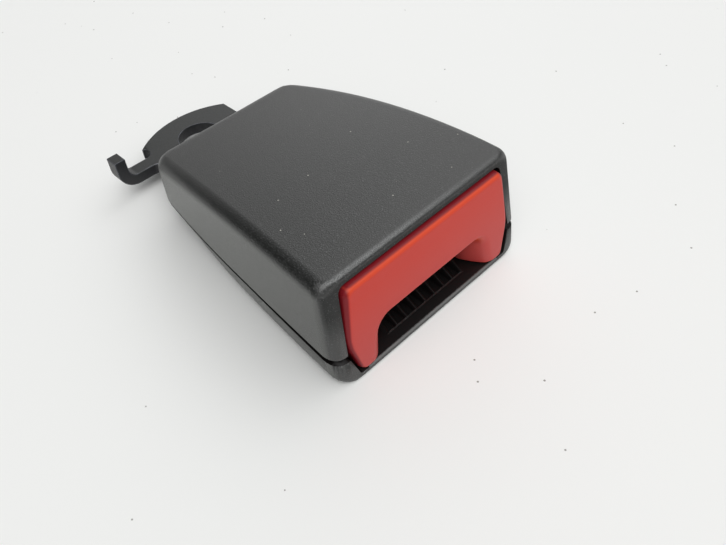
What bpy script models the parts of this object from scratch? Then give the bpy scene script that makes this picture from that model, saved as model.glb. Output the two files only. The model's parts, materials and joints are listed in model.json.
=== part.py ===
"""End-release seat belt buckle with its anchor plate, as separate pieces.

X runs across the buckle, the button and the tongue slot face -Y, the anchor plate leaves at +Y,
and the lower cover stands on Z = 0. Sizes are in millimetres and become metres in each mesh.
Y is measured from the mouth, and an empty then centres the whole buckle on the origin.
Every piece is placed in its released state: button out, ejector forward, latch raised.
"""

import math

import bmesh
import bpy
from mathutils import Matrix, Vector

MM = 0.001
DATUM = "buckle_datum"

# Housing, both covers together
BODY_LENGTH = 70.3
HALF_WIDTH_FRONT = 28.0
HALF_WIDTH_REAR = 21.2
TAPER_STRAIGHT_SHARE = 0.25
HEIGHT_FRONT = 26.3
HEIGHT_REAR = 19.0
ROOF_CROWN = 3.0
TAIL_LIFT = 2.1
TAIL_LIFT_START = 36.0
PARTING_HEIGHT = 7.7
PARTING_GAP = 0.9
FRONT_GROOVE = 0.7
FRONT_GROOVE_LENGTH = 30.0
SIDE_FLARE = 0.8
SIDE_FLARE_LENGTH = 34.0
FLANK_DRAW = 0.6
FLANK_GROWTH = 2.4
FLANK_INNER_SHARE = 0.6
FLANK_RADIUS = 3.0
SIDE_WALL = 2.2
ROOF_WALL = 2.3
FLOOR_WALL = 1.3
REAR_WALL = 2.2
TOP_FILLET = 3.1
BOTTOM_FILLET = 2.9
REAR_CORNER = 5.0
INNER_FILLET = 1.2
CAVITY_TOP_FILLET = 1.8
CAVITY_LOW_FILLET = 0.8
MOUTH_CORNER_LENGTH = 3.8
MOUTH_CORNER_DRAW = 3.0
MOUTH_TOP_DRAW = 1.0
MOUTH_BOTTOM_DRAW = 0.5
MOUTH_LEAN = 0.16
MOUTH_LEAN_DEPTH = 20.0
RIM_INSET = 1.3
RIM_HEIGHT = 1.6
RIM_FRONT = 9.0
LIP_ROUND = 0.6

# Clearances
CLEAR = 0.3
BUTTON_SIDE_GAP = 0.5
BUTTON_TOP_GAP = 0.5

# Release button
BUTTON_DROP = 2.3
BUTTON_HALF_TOP = 23.2
BUTTON_HALF_FOOT = 22.6
BUTTON_BULGE = 1.5
BUTTON_BULGE_HEIGHT = 10.0
BUTTON_BULGE_RADIUS = 12.0
BUTTON_LEAN = 0.096
BUTTON_PROUD = 0.5
BUTTON_DEPTH = 8.0
BUTTON_EDGE = 1.2
BUTTON_TRAVEL = 4.5
BUTTON_TOP_CORNER = 2.2
BUTTON_FOOT_CORNER = 1.8
WINDOW_HALF = 13.6
WINDOW_SLANT = 0.6
WINDOW_TOP = 11.3
WINDOW_CORNER = 3.0
WINDOW_EDGE = 0.9
WINDOW_SIDE_EDGE = 1.7
FUNNEL = 3.7
FUNNEL_DEPTH = 6.4
FUNNEL_CURVE = 1.25
FUNNEL_TOP_SHARE = 0.8
FOOT_INNER_CORNER = 0.4
FOOT_EDGE_SHARE = 0.3
BUTTON_SKIN = 2.6
HOLLOW_START = 3.8
HOLLOW_SIDE = 1.5
ARM_THICKNESS = 2.6
ARM_GAP = 0.7
ARM_UNDER_PIN = 0.4
ARM_OVER_PIN = 0.6

# Lead-in comb on the floor of the lower cover
COMB_FRONT = 2.3
COMB_LAND = 0.6
COMB_SINK = 0.15
COMB_LEVEL = 1.2
COMB_POCKETS = 8
COMB_PITCH = 3.0
COMB_RIB = 0.9
COMB_POCKET_FLOOR = 0.8
COMB_BACK_WALL = 1.0

# Ribs under the anchor plate
REST_FRONT_Y = 30.5
REST_BACK_Y = 58.0
REST_NEAR_X = 6.0
REST_FAR_X = 17.0
REST_THICKNESS = 1.4

# Anchor plate
PLATE_THICKNESS = 3.0
PLATE_BOTTOM = 4.0
PLATE_FRONT = 14.0
PLATE_SHOULDER = 53.0
PLATE_NECK_START = 63.0
PLATE_HALF_NECK = 13.6
PLATE_END = 95.0
PLATE_END_RADIUS = 22.8
PLATE_BEAK_X = 14.2
PLATE_NOTCH_X = 13.1
PLATE_NOTCH_RADIUS = 1.9
PLATE_BEAK_UNDERCUT = 0.45
BOLT_HOLE_RADIUS = 6.0
BOLT_HOLE_Y = 83.0
PLATE_EDGE = 0.25
HOOK_FRONT = 82.3
HOOK_BACK = 86.2
HOOK_BEND_X = 20.2
HOOK_INNER_RADIUS = 2.2
HOOK_TIP = 12.8
HOOK_ROOT_RADIUS = 2.4
HOOK_BEND_STEPS = 8

# Frame bracket, an inverted channel riveted to the plate
FRAME_HALF_INSIDE = 13.5
FRAME_STEEL = 1.8
FRAME_FRONT = 17.0
FRAME_BACK = 52.0
FRAME_LEVEL_END = 28.0
FRAME_BEND = 2.4
FRONT_STRAP = 3.4
REAR_STRAP_START = 36.5
FOOT_LENGTH = 8.0
FOOT_INSET = 1.5
FOOT_MARGIN = 0.2

# Rivets
RIVET_RADIUS = 1.5
RIVET_HEAD_RADIUS = 2.2
RIVET_HEAD = 1.0
RIVET_OUTBOARD = 2.9

# Latch and its pivot
PIVOT_Y = 46.0
PIVOT_Z = 14.4
PIVOT_RADIUS = 1.75
PIVOT_HEAD_RADIUS = 2.6
PIVOT_HEAD = 1.0
LATCH_STEEL = 2.4
LATCH_ARM_LOW = 10.6
LATCH_EYE_RADIUS = 3.9
LATCH_EYE_HALF = 10.4
NOSE_HALF = 8.0
NOSE_FRONT = 22.0
NOSE_LENGTH = 2.6
NOSE_BOTTOM = 5.5
NOSE_PLAY = 0.8
NOSE_SWING = 1.1
LATCH_NECK_Y = 29.0

# Lock pin
LOCK_RADIUS = 2.0
LOCK_HALF_LENGTH = 18.4
LOCK_REST_Y = 26.5
LOCK_SET_Y = 22.5
LATCH_PIN_GAP = 0.4
LOCK_CHAMFER = 0.4

# Ejector
EJECTOR_TRAVEL = 12.0
EJECTOR_FRONT = 18.3
EJECTOR_BACK = 36.0
EJECTOR_SIDE_GAP = 0.9
EJECTOR_RAMP_FRONT = 0.6
EJECTOR_RAMP_LENGTH = 4.3
EJECTOR_RAMP_EXTRA = 1.14
KEEL_HALF = 2.8
KEEL_LENGTH = 3.0
KEEL_PLAY = 0.55

# Tongue guide
GUIDE_FRONT = 13.3
GUIDE_DEPTH = 3.2
GUIDE_LOW = 11.8
GUIDE_HIGH = 19.6
GUIDE_LEG = 2.4
GUIDE_CORNER = 1.5
PEG_LENGTH = 2.5

# Springs
BUTTON_SPRING_INBOARD = 4.0
BUTTON_SPRING_SHARE = 0.3
BUTTON_SPRING_WIRE = 0.3
PEG_PLAY = 0.6
BUTTON_SPRING_TURNS = 6
EJECTOR_SPRING_RADIUS = 2.4
EJECTOR_SPRING_WIRE = 0.3
EJECTOR_SPRING_TURNS = 8
EJECTOR_SPRING_Z = 6.0
EJECTOR_SPRING_BACK = 54.0
LATCH_SPRING_Y = 39.5
LATCH_SPRING_RADIUS = 1.9
LATCH_SPRING_WIRE = 0.3
LATCH_SPRING_TURNS = 5
LOCK_SPRING_WIRE = 0.4
LOCK_SPRING_TURNS = 2.25
LOCK_SPRING_SHORT_LEG = 5.0

PLASTIC_CHARCOAL = (0.035, 0.036, 0.038)
PLASTIC_BLACK = (0.012, 0.012, 0.013)
PLASTIC_RED = (0.58, 0.06, 0.045)
PLASTIC_WHITE = (0.72, 0.71, 0.68)
STEEL_BLACK = (0.03, 0.031, 0.034)
STEEL_BRIGHT = (0.55, 0.55, 0.56)
SPRING_STEEL = (0.42, 0.42, 0.43)


def half_width(y):
    """Half width of the housing in plan: nearly straight at the mouth, then drawing in."""
    t = y / BODY_LENGTH
    taper = TAPER_STRAIGHT_SHARE * t + (1 - TAPER_STRAIGHT_SHARE) * t * t
    return HALF_WIDTH_FRONT - (HALF_WIDTH_FRONT - HALF_WIDTH_REAR) * taper


def roof_height(y):
    """Height of the roof: level near the mouth, then curving down to the plate."""
    t = y / BODY_LENGTH
    return HEIGHT_FRONT - (HEIGHT_FRONT - HEIGHT_REAR) * t + ROOF_CROWN * 4 * t * (1 - t)


def side_flare(y):
    """How far the side stands out at the parting line; it dies away behind the mouth."""
    fade = max(0.0, 1 - max(y, 0.0) / SIDE_FLARE_LENGTH)
    return SIDE_FLARE * fade * fade


def flank_draw(y):
    """How far the lower cover's flank draws in below the parting line, more towards the tail."""
    share = max(y, 0.0) / BODY_LENGTH
    return FLANK_DRAW + FLANK_GROWTH * share * share


def floor_height(y):
    """Underside: flat, then lifting towards the tail."""
    share = max(0.0, (y - TAIL_LIFT_START) / (BODY_LENGTH - TAIL_LIFT_START))
    return TAIL_LIFT * share * share


# Derived places
PLATE_TOP = PLATE_BOTTOM + PLATE_THICKNESS
BUTTON_TOP = HEIGHT_FRONT - BUTTON_DROP
MOUTH_HALF = BUTTON_HALF_TOP + BUTTON_SIDE_GAP
MOUTH_DRAW = BUTTON_HALF_TOP + BUTTON_BULGE - BUTTON_HALF_FOOT
MOUTH_TOP = BUTTON_TOP + BUTTON_TOP_GAP
HOLLOW_LOW = WINDOW_TOP + BUTTON_SKIN
HOLLOW_HIGH = BUTTON_TOP - BUTTON_SKIN
BUTTON_SPRING_X = FRAME_HALF_INSIDE - BUTTON_SPRING_INBOARD
BUTTON_SPRING_Z = (HOLLOW_LOW + HOLLOW_HIGH) / 2
BUTTON_SPRING_RADIUS = (HOLLOW_HIGH - HOLLOW_LOW) * BUTTON_SPRING_SHARE
PEG_RADIUS = BUTTON_SPRING_RADIUS - BUTTON_SPRING_WIRE - PEG_PLAY
FRAME_HALF_OUTSIDE = FRAME_HALF_INSIDE + FRAME_STEEL
RIVET_X = FRAME_HALF_OUTSIDE + RIVET_OUTBOARD
FOOT_BOTTOM = PLATE_TOP + CLEAR
FOOT_TOP = FOOT_BOTTOM + FRAME_STEEL
FRONT_FOOT_Y = FRAME_FRONT + FOOT_INSET + FOOT_LENGTH / 2
REAR_FOOT_Y = FRAME_BACK - FOOT_INSET - FOOT_LENGTH / 2
LATCH_ARM_TOP = LATCH_ARM_LOW + LATCH_STEEL
ARM_INNER = FRAME_HALF_OUTSIDE + ARM_GAP
ARM_END = LOCK_SET_Y - LOCK_RADIUS - CLEAR - BUTTON_TRAVEL
MOUTH_TIP_Y = MOUTH_LEAN * (MOUTH_BOTTOM_DRAW - PARTING_HEIGHT)
MIDDLE_Y = (PLATE_END + MOUTH_TIP_Y) / 2
HOOK_BEND_Z = PLATE_TOP + HOOK_INNER_RADIUS
HOOK_BEND_LENGTH = math.pi / 2 * (HOOK_INNER_RADIUS + PLATE_THICKNESS / 2)
HOOK_FLAT_X = HOOK_BEND_X + HOOK_BEND_LENGTH + HOOK_TIP - HOOK_BEND_Z
FOOT_OUTER = RIVET_X + RIVET_HEAD_RADIUS + FOOT_MARGIN
PLATE_HALF_INSIDE = FOOT_OUTER
FRAME_TOP = roof_height(FRAME_LEVEL_END) - ROOF_WALL - CLEAR
FRAME_DROP = FRAME_TOP - (roof_height(FRAME_BACK) - ROOF_WALL - CLEAR)
LOCK_REST_Z = FRAME_TOP - FRAME_STEEL - CLEAR - LOCK_RADIUS
LOCK_SET_Z = LATCH_ARM_TOP + LATCH_PIN_GAP + LOCK_RADIUS
ARM_LOW = LOCK_SET_Z - LOCK_RADIUS - ARM_UNDER_PIN
ARM_HIGH = LOCK_REST_Z + LOCK_RADIUS - ARM_OVER_PIN
PIN_REACH = math.hypot(PIVOT_Y - LOCK_REST_Y, LOCK_REST_Z - PIVOT_Z)
PIN_OFFSET = LOCK_RADIUS + LATCH_PIN_GAP + LATCH_ARM_TOP - PIVOT_Z
LATCH_ANGLE = math.atan2(LOCK_REST_Z - PIVOT_Z, PIVOT_Y - LOCK_REST_Y) - math.asin(PIN_OFFSET / PIN_REACH)
NOSE_REACH = PIVOT_Y - NOSE_FRONT - NOSE_LENGTH
NOSE_DEPTH = PIVOT_Z - NOSE_BOTTOM
NOSE_RAISED = PIVOT_Z + NOSE_REACH * math.sin(LATCH_ANGLE) - NOSE_DEPTH * math.cos(LATCH_ANGLE)
EJECTOR_TOP = NOSE_RAISED - CLEAR
EJECTOR_RAMP_DROP = EJECTOR_RAMP_EXTRA * EJECTOR_RAMP_LENGTH * (NOSE_RAISED - NOSE_BOTTOM) / EJECTOR_TRAVEL


def clear_scene():
    for old in list(bpy.data.objects):
        bpy.data.objects.remove(old, do_unlink=True)


def add_datum():
    """The empty that carries every piece; it puts the origin under the middle of the buckle."""
    datum = bpy.data.objects.new(DATUM, None)
    datum.location = Vector((0.0, -MIDDLE_Y, 0.0)) * MM
    bpy.context.scene.collection.objects.link(datum)


def make_material(name, color, roughness, metallic):
    material = bpy.data.materials.new(name)
    material.use_nodes = True
    shader = material.node_tree.nodes["Principled BSDF"]
    shader.inputs["Base Color"].default_value = (*color, 1.0)
    shader.inputs["Roughness"].default_value = roughness
    shader.inputs["Metallic"].default_value = metallic
    return material


def rounded_outline(corners, steps):
    """Points round a closed outline whose corners are (u, v, radius)."""
    points = []
    count = len(corners)
    for index, (u, v, radius) in enumerate(corners):
        here = Vector((u, v))
        if radius <= 0:
            points.append(here)
            continue
        before = (Vector(corners[index - 1][:2]) - here).normalized()
        after = (Vector(corners[(index + 1) % count][:2]) - here).normalized()
        half_angle = before.angle(after) / 2
        reach = radius / math.tan(half_angle)
        centre = here + (before + after).normalized() * (radius / math.sin(half_angle))
        start = here + before * reach - centre
        sweep = math.pi - 2 * half_angle
        turn = 1 if start.x * (here - centre).y - start.y * (here - centre).x > 0 else -1
        for step in range(steps + 1):
            angle = turn * sweep * step / steps
            rotated = Matrix.Rotation(angle, 2) @ start
            points.append(centre + rotated)
    return points


def circle_outline(u, v, radius, segments=24):
    step = 2 * math.pi / segments
    return [
        Vector((u + radius * math.cos(k * step), v + radius * math.sin(k * step)))
        for k in range(segments)
    ]


def loft(rings):
    """A closed solid through rings of equal point count, with flat ends."""
    solid = bmesh.new()
    loops = [[solid.verts.new(point) for point in ring] for ring in rings]
    count = len(loops[0])
    for first, second in zip(loops, loops[1:]):
        for k in range(count):
            after = (k + 1) % count
            solid.faces.new((first[k], first[after], second[after], second[k]))
    solid.faces.new(loops[0])
    solid.faces.new(loops[-1])
    bmesh.ops.recalc_face_normals(solid, faces=solid.faces)
    return solid


def lay(axis, u, v, depth):
    """Place an outline point on the plane that lies across the axis."""
    if axis == "X":
        return Vector((depth, u, v))
    if axis == "Y":
        return Vector((u, depth, v))
    return Vector((u, v, depth))


def prism(outline, axis, low, high):
    """An outline pushed along an axis from low to high."""
    return loft([[lay(axis, p.x, p.y, depth) for p in outline] for depth in (low, high)])


def block(x, y, z):
    """A box between the two values of each axis."""
    outline = [Vector((x[0], y[0])), Vector((x[1], y[0])), Vector((x[1], y[1])), Vector((x[0], y[1]))]
    return prism(outline, "Z", z[0], z[1])


def turned(profile, axis, u, v, segments=24):
    """A turned pin: profile is a list of (position along the axis, radius)."""
    rings = []
    for along, radius in profile:
        rings.append([lay(axis, p.x, p.y, along) for p in circle_outline(u, v, radius, segments)])
    return loft(rings)


def gather(solids):
    """Several separate solids as one mesh, for a cutter that makes many holes."""
    joined = bmesh.new()
    scratch = bpy.data.meshes.new("scratch")
    for solid in solids:
        solid.to_mesh(scratch)
        joined.from_mesh(scratch)
        solid.free()
    bpy.data.meshes.remove(scratch)
    return joined


def to_object(name, solid, origin):
    bmesh.ops.translate(solid, verts=solid.verts, vec=-Vector(origin))
    bmesh.ops.scale(solid, verts=solid.verts, vec=(MM, MM, MM))
    mesh = bpy.data.meshes.new(name)
    solid.to_mesh(mesh)
    solid.free()
    made = bpy.data.objects.new(name, mesh)
    bpy.context.scene.collection.objects.link(made)
    return made


def place(piece, origin):
    """Hang a piece on the datum empty, at its own origin."""
    piece.parent = bpy.data.objects[DATUM]
    piece.location = Vector(origin) * MM


def make_piece(name, solid, material, origin=(0.0, 0.0, 0.0), smooth_angle=35.0):
    """One named piece, its mesh measured from the origin that it turns or slides about."""
    piece = to_object(name, solid, origin)
    place(piece, origin)
    piece.data.materials.append(material)
    piece.data.shade_smooth()
    piece.data.set_sharp_from_angle(angle=math.radians(smooth_angle))
    return piece


def shape(piece, name, solid, operation="DIFFERENCE", origin=(0.0, 0.0, 0.0)):
    """Cut a solid from a piece, or join one to it, with a tool that follows the piece."""
    tool = to_object(name, solid, origin)
    tool.parent = piece
    tool.hide_render = True
    tool.display_type = "WIRE"
    modifier = piece.modifiers.new(name, "BOOLEAN")
    modifier.operation = operation
    modifier.object = tool
    modifier.solver = "EXACT"


def break_edges(piece, width, segments=2, angle=40.0):
    """Round the sharp edges of a piece before it is cut."""
    modifier = piece.modifiers.new("broken_edges", "BEVEL")
    modifier.width = width * MM
    modifier.segments = segments
    modifier.limit_method = "ANGLE"
    modifier.angle_limit = math.radians(angle)


def wire(name, points, radius, material, origin):
    """A round wire with closed ends through a list of points."""
    curve = bpy.data.curves.new(name, "CURVE")
    curve.dimensions = "3D"
    curve.bevel_depth = radius * MM
    curve.bevel_resolution = 1
    curve.use_fill_caps = True
    spline = curve.splines.new("POLY")
    spline.points.add(len(points) - 1)
    for target, point in zip(spline.points, points):
        target.co = (*((point - Vector(origin)) * MM), 1.0)
    curve.materials.append(material)
    made = bpy.data.objects.new(name, curve)
    place(made, origin)
    bpy.context.scene.collection.objects.link(made)
    return made


def coil(axis, u, v, radius, start, end, turns, per_turn=12):
    """Points along a compression spring whose first and last turns lie nearly flat."""
    points = []
    count = int(turns * per_turn)
    for k in range(count + 1):
        share = k / count
        eased = share * share * (3 - 2 * share)
        along = start + (end - start) * (0.35 * share + 0.65 * eased)
        angle = 2 * math.pi * turns * share
        points.append(lay(axis, u + radius * math.cos(angle), v + radius * math.sin(angle), along))
    return points


def rounding(distance, length, draw):
    """How far a rounded edge has drawn in at a distance from the end of the body."""
    if distance >= length:
        return 0.0
    share = (length - max(distance, 0.0)) / length
    return draw * (1 - math.sqrt(1 - share * share))


def lean(y, z):
    """The mouth leans back; the lean dies away along the body."""
    fade = max(0.0, 1 - max(y, 0.0) / MOUTH_LEAN_DEPTH)
    return y + MOUTH_LEAN * (z - PARTING_HEIGHT) * fade * fade


def body_ring(y, half, top, bottom, radii, side, steps):
    """One section of the housing: side is its flare at the parting line and its draw below that."""
    flare, draw = side
    top_radius, bottom_radius = radii
    right = [
        (half + flare - draw, bottom, bottom_radius),
        (half + flare, PARTING_HEIGHT, FLANK_RADIUS),
        (half, top, top_radius),
    ]
    left = [(-x, z, radius) for x, z, radius in reversed(right)]
    return [Vector((p.x, lean(y, p.y), p.y)) for p in rounded_outline(right + left, steps)]


def rear_stations(end, radius, steps):
    return [end - radius + radius * math.sin(math.pi / 2 * k / steps) for k in range(1, steps + 1)]


def outer_body(corner_steps=7, spans=15):
    """The whole outside of the housing as one lofted solid."""
    stations = [0.0, 0.25, 0.7, 1.3, 2.1, 3.2, MOUTH_CORNER_LENGTH]
    straight_end = BODY_LENGTH - REAR_CORNER
    span = (straight_end - MOUTH_CORNER_LENGTH) / spans
    stations += [MOUTH_CORNER_LENGTH + span * k for k in range(1, spans + 1)]
    stations += rear_stations(BODY_LENGTH, REAR_CORNER, 6)
    rings = []
    for y in stations:
        tail = BODY_LENGTH - y
        half = half_width(y) - rounding(tail, REAR_CORNER, REAR_CORNER)
        half -= rounding(y, MOUTH_CORNER_LENGTH, MOUTH_CORNER_DRAW)
        top = roof_height(y) - rounding(tail, TOP_FILLET, TOP_FILLET)
        top -= rounding(y, MOUTH_CORNER_LENGTH / 2, MOUTH_TOP_DRAW)
        bottom = floor_height(y) + rounding(tail, BOTTOM_FILLET, BOTTOM_FILLET)
        bottom += rounding(y, MOUTH_CORNER_LENGTH / 3, MOUTH_BOTTOM_DRAW)
        side = (side_flare(y), flank_draw(y))
        rings.append(body_ring(y, half, top, bottom, (TOP_FILLET, BOTTOM_FILLET), side, corner_steps))
    return loft(rings)


def inner_body(side, roof, floor, rear, start, corner_steps=3, spans=9):
    """The same form drawn in by a wall on each side, for the cavity and the lap joint."""
    end = BODY_LENGTH - rear
    corner = max(REAR_CORNER - side, 1.0)
    straight_end = end - corner
    first = max(start, 0.0)
    stations = [start] if start < 0 else []
    stations += [first + (straight_end - first) * k / spans for k in range(spans + 1)]
    stations += rear_stations(end, corner, 3)
    rings = []
    for y in stations:
        half = half_width(y) - side - rounding(end - y, corner, corner)
        top = roof_height(y) - roof - rounding(end - y, 1.0, 1.0)
        bottom = floor_height(y) + floor
        lean_in = (side_flare(y), flank_draw(y) * FLANK_INNER_SHARE)
        rings.append(body_ring(y, half, top, bottom, (INNER_FILLET, INNER_FILLET), lean_in, corner_steps))
    return loft(rings)


def cavity(spans=10):
    """The inside of the housing, narrowing to the mouth that the button fills."""
    end = BODY_LENGTH - REAR_WALL
    corner = REAR_CORNER - REAR_WALL
    mouth_end = MOUTH_CORNER_LENGTH + 0.5
    stations = [-4.0, mouth_end]
    widening = [mouth_end + 1.5, mouth_end + 3.5]
    straight_end = end - corner
    straight = [widening[-1] + (straight_end - widening[-1]) * k / spans for k in range(1, spans + 1)]
    stations += widening + straight + rear_stations(end, corner, 3)
    rings = []
    for y in stations:
        narrow = max(0.0, y - mouth_end)
        half = min(half_width(y) - SIDE_WALL, MOUTH_HALF + narrow)
        half -= rounding(end - y, corner, corner)
        top = min(roof_height(y) - ROOF_WALL, MOUTH_TOP + narrow) - rounding(end - y, 1.0, 1.0)
        bottom = floor_height(y) + FLOOR_WALL
        side = (side_flare(y), flank_draw(y) * FLANK_INNER_SHARE)
        if narrow == 0:
            top = MOUTH_TOP
            side = (BUTTON_BULGE, MOUTH_DRAW)
        rings.append(body_ring(y, half, top, bottom, (CAVITY_TOP_FILLET, CAVITY_LOW_FILLET), side, 4))
    return loft(rings)


def keep_side(solid, height, above):
    """Cut a solid at a height, keep one side and close it."""
    cut = bmesh.ops.bisect_plane(
        solid,
        geom=solid.verts[:] + solid.edges[:] + solid.faces[:],
        dist=1e-5,
        plane_co=(0, 0, height),
        plane_no=(0, 0, 1),
        clear_inner=above,
        clear_outer=not above,
    )
    open_edges = [item for item in cut["geom_cut"] if isinstance(item, bmesh.types.BMEdge)]
    bmesh.ops.edgeloop_fill(solid, edges=open_edges)
    bmesh.ops.recalc_face_normals(solid, faces=solid.faces)
    return solid


def lap_band(inset, above_parting, start):
    """The band of the lap joint, which stands above the parting line."""
    band = inner_body(inset, inset, 1.0, inset, start)
    keep_side(band, PARTING_HEIGHT - PARTING_GAP / 2 - 1.5, True)
    return keep_side(band, PARTING_HEIGHT + above_parting, False)


def make_upper_cover(material):
    half_shell = keep_side(outer_body(), PARTING_HEIGHT + PARTING_GAP / 2, True)
    cover = make_piece("upper_cover", half_shell, material)
    shape(cover, "upper_cavity", cavity())
    shape(cover, "upper_rebate", lap_band(RIM_INSET - CLEAR, RIM_HEIGHT + CLEAR, RIM_FRONT - CLEAR))
    return cover


def front_groove():
    """A long wedge off the lower cover's edge: the groove is widest at the mouth."""
    edge = PARTING_HEIGHT - PARTING_GAP / 2
    outline = [
        Vector((MOUTH_TIP_Y - 3, edge - FRONT_GROOVE)),
        Vector((MOUTH_CORNER_LENGTH, edge - FRONT_GROOVE)),
        Vector((FRONT_GROOVE_LENGTH, edge)),
        Vector((FRONT_GROOVE_LENGTH, edge + 1)),
        Vector((MOUTH_TIP_Y - 3, edge + 1)),
    ]
    return prism(outline, "X", -HALF_WIDTH_FRONT - 3, HALF_WIDTH_FRONT + 3)


def lip_rounding(steps=4):
    """Rounds the floor's front edge between the feet of the button, which hide its two ends."""
    back = lean(0.0, FLOOR_WALL) + LIP_ROUND
    low = FLOOR_WALL - LIP_ROUND
    arc = [math.pi / 2 * k / steps for k in range(steps + 1)]
    reach = back - lean(0.0, low)
    outline = [Vector((back - reach * math.sin(a), low + LIP_ROUND * math.cos(a))) for a in arc]
    outline += [Vector((MOUTH_TIP_Y - 3, low)), Vector((MOUTH_TIP_Y - 3, FLOOR_WALL + 1))]
    outline += [Vector((back, FLOOR_WALL + 1))]
    half = BUTTON_HALF_FOOT - BUTTON_FOOT_CORNER
    return prism(outline, "X", -half, half)


def comb_ramp():
    """The wedge that leads the tongue from the floor up to the plate."""
    front = COMB_FRONT - COMB_LAND
    low = COMB_POCKET_FLOOR - 0.3
    back = PLATE_FRONT - CLEAR
    rise = PLATE_TOP - 0.1
    outline = [
        Vector((front, low)),
        Vector((back, low)),
        Vector((back, rise)),
        Vector((back - COMB_LEVEL, rise)),
        Vector((front, FLOOR_WALL - COMB_SINK)),
    ]
    half = COMB_POCKETS * COMB_PITCH / 2 + COMB_RIB / 2
    return prism(outline, "X", -half, half)


def comb_pockets():
    """The row of pockets that leaves thin ribs under the tongue."""
    solids = []
    back = PLATE_FRONT - CLEAR - COMB_BACK_WALL
    width = COMB_PITCH - COMB_RIB
    for index in range(COMB_POCKETS):
        middle = (index - (COMB_POCKETS - 1) / 2) * COMB_PITCH
        across = (middle - width / 2, middle + width / 2)
        solids.append(block(across, (COMB_FRONT, back), (COMB_POCKET_FLOOR, PLATE_TOP + 2)))
    return gather(solids)


def plate_rests():
    """Ribs on the floor that carry the anchor plate, broken at the ejector spring."""
    top = PLATE_BOTTOM - CLEAR
    solids = []
    for y in (REST_FRONT_Y, REST_BACK_Y):
        for side in (-1, 1):
            near, far = side * REST_NEAR_X, side * REST_FAR_X
            low = floor_height(y) + FLOOR_WALL / 2
            across = (min(near, far), max(near, far))
            solids.append(block(across, (y, y + REST_THICKNESS), (low, top)))
    return gather(solids)


def make_lower_cover(material):
    half_shell = keep_side(outer_body(), PARTING_HEIGHT - PARTING_GAP / 2, False)
    cover = make_piece("lower_cover", half_shell, material)
    shape(cover, "lower_groove", front_groove())
    shape(cover, "lower_rim", lap_band(RIM_INSET, RIM_HEIGHT, RIM_FRONT), "UNION")
    shape(cover, "lower_cavity", cavity())
    shape(cover, "lower_lip", lip_rounding())
    shape(cover, "lower_ramp", comb_ramp(), "UNION")
    shape(cover, "lower_pockets", comb_pockets())
    shape(cover, "lower_rests", plate_rests(), "UNION")
    exit_half = PLATE_HALF_NECK + CLEAR
    exit_low = PLATE_BOTTOM - CLEAR
    rear = (BODY_LENGTH - REAR_WALL - 3.0, BODY_LENGTH + 3.0)
    shape(cover, "lower_exit", block((-exit_half, exit_half), rear, (exit_low, PARTING_HEIGHT + 4)))
    return cover


def button_ring(y, edge):
    """The inverted U of the button at one depth, drawn in by edge and opened by the funnel."""
    top = BUTTON_TOP - edge
    foot = FLOOR_WALL + CLEAR + edge * FOOT_EDGE_SHARE
    opened = FUNNEL * max(0.0, 1 - y / FUNNEL_DEPTH) ** FUNNEL_CURVE
    window_edge = rounding(y, WINDOW_EDGE, WINDOW_EDGE)
    window_top = WINDOW_TOP + window_edge
    window_half = WINDOW_HALF + opened * FUNNEL_TOP_SHARE + window_edge
    side_edge = rounding(y, WINDOW_SIDE_EDGE, WINDOW_SIDE_EDGE)
    foot_inner = WINDOW_HALF + WINDOW_SLANT + opened + side_edge
    bulge = BUTTON_HALF_TOP + BUTTON_BULGE - edge
    right = [
        (window_half, window_top, WINDOW_CORNER + opened / 2),
        (foot_inner, foot, FOOT_INNER_CORNER),
        (BUTTON_HALF_FOOT - edge, foot, BUTTON_FOOT_CORNER - edge),
        (bulge, BUTTON_BULGE_HEIGHT, BUTTON_BULGE_RADIUS),
        (BUTTON_HALF_TOP - edge, top, BUTTON_TOP_CORNER - edge),
    ]
    left = [(-x, z, radius) for x, z, radius in reversed(right)]
    points = rounded_outline(right + left, 6)
    face = y - BUTTON_PROUD
    return [Vector((p.x, face + BUTTON_LEAN * (p.y - PARTING_HEIGHT), p.y)) for p in points]


def make_release_button(material):
    edges = [WINDOW_EDGE, BUTTON_EDGE, WINDOW_SIDE_EDGE]
    depths = [0.0, 0.08, 0.25, 0.55, *edges, 2.4, 3.4, 4.8, FUNNEL_DEPTH, BUTTON_DEPTH]
    rings = [button_ring(y, rounding(y, BUTTON_EDGE, BUTTON_EDGE)) for y in depths]
    button = make_piece("release_button", loft(rings), material)
    half = ARM_INNER - HOLLOW_SIDE
    hollow = block((-half, half), (HOLLOW_START, BUTTON_DEPTH + 4), (HOLLOW_LOW, HOLLOW_HIGH))
    shape(button, "button_hollow", hollow)
    for side in (-1, 1):
        near, far = side * ARM_INNER, side * (ARM_INNER + ARM_THICKNESS)
        across = (min(near, far), max(near, far))
        arm = block(across, (BUTTON_DEPTH - 2.0, ARM_END), (ARM_LOW, ARM_HIGH))
        shape(button, "button_arm_" + ("left" if side < 0 else "right"), arm, "UNION")
    return button


def arc_height(x):
    """Where the plate's rounded end lies at a distance from its middle line."""
    return PLATE_END - PLATE_END_RADIUS + math.sqrt(PLATE_END_RADIUS**2 - x * x)


def plate_end(steps=14):
    """The rounded end, from the plain edge round to the beak over the hook's notch."""
    start = math.asin(PLATE_HALF_NECK / PLATE_END_RADIUS)
    end = -math.asin(PLATE_BEAK_X / PLATE_END_RADIUS)
    centre = PLATE_END - PLATE_END_RADIUS
    angles = [start + (end - start) * k / steps for k in range(steps + 1)]
    return [(PLATE_END_RADIUS * math.sin(a), centre + PLATE_END_RADIUS * math.cos(a), 0) for a in angles]


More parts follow.
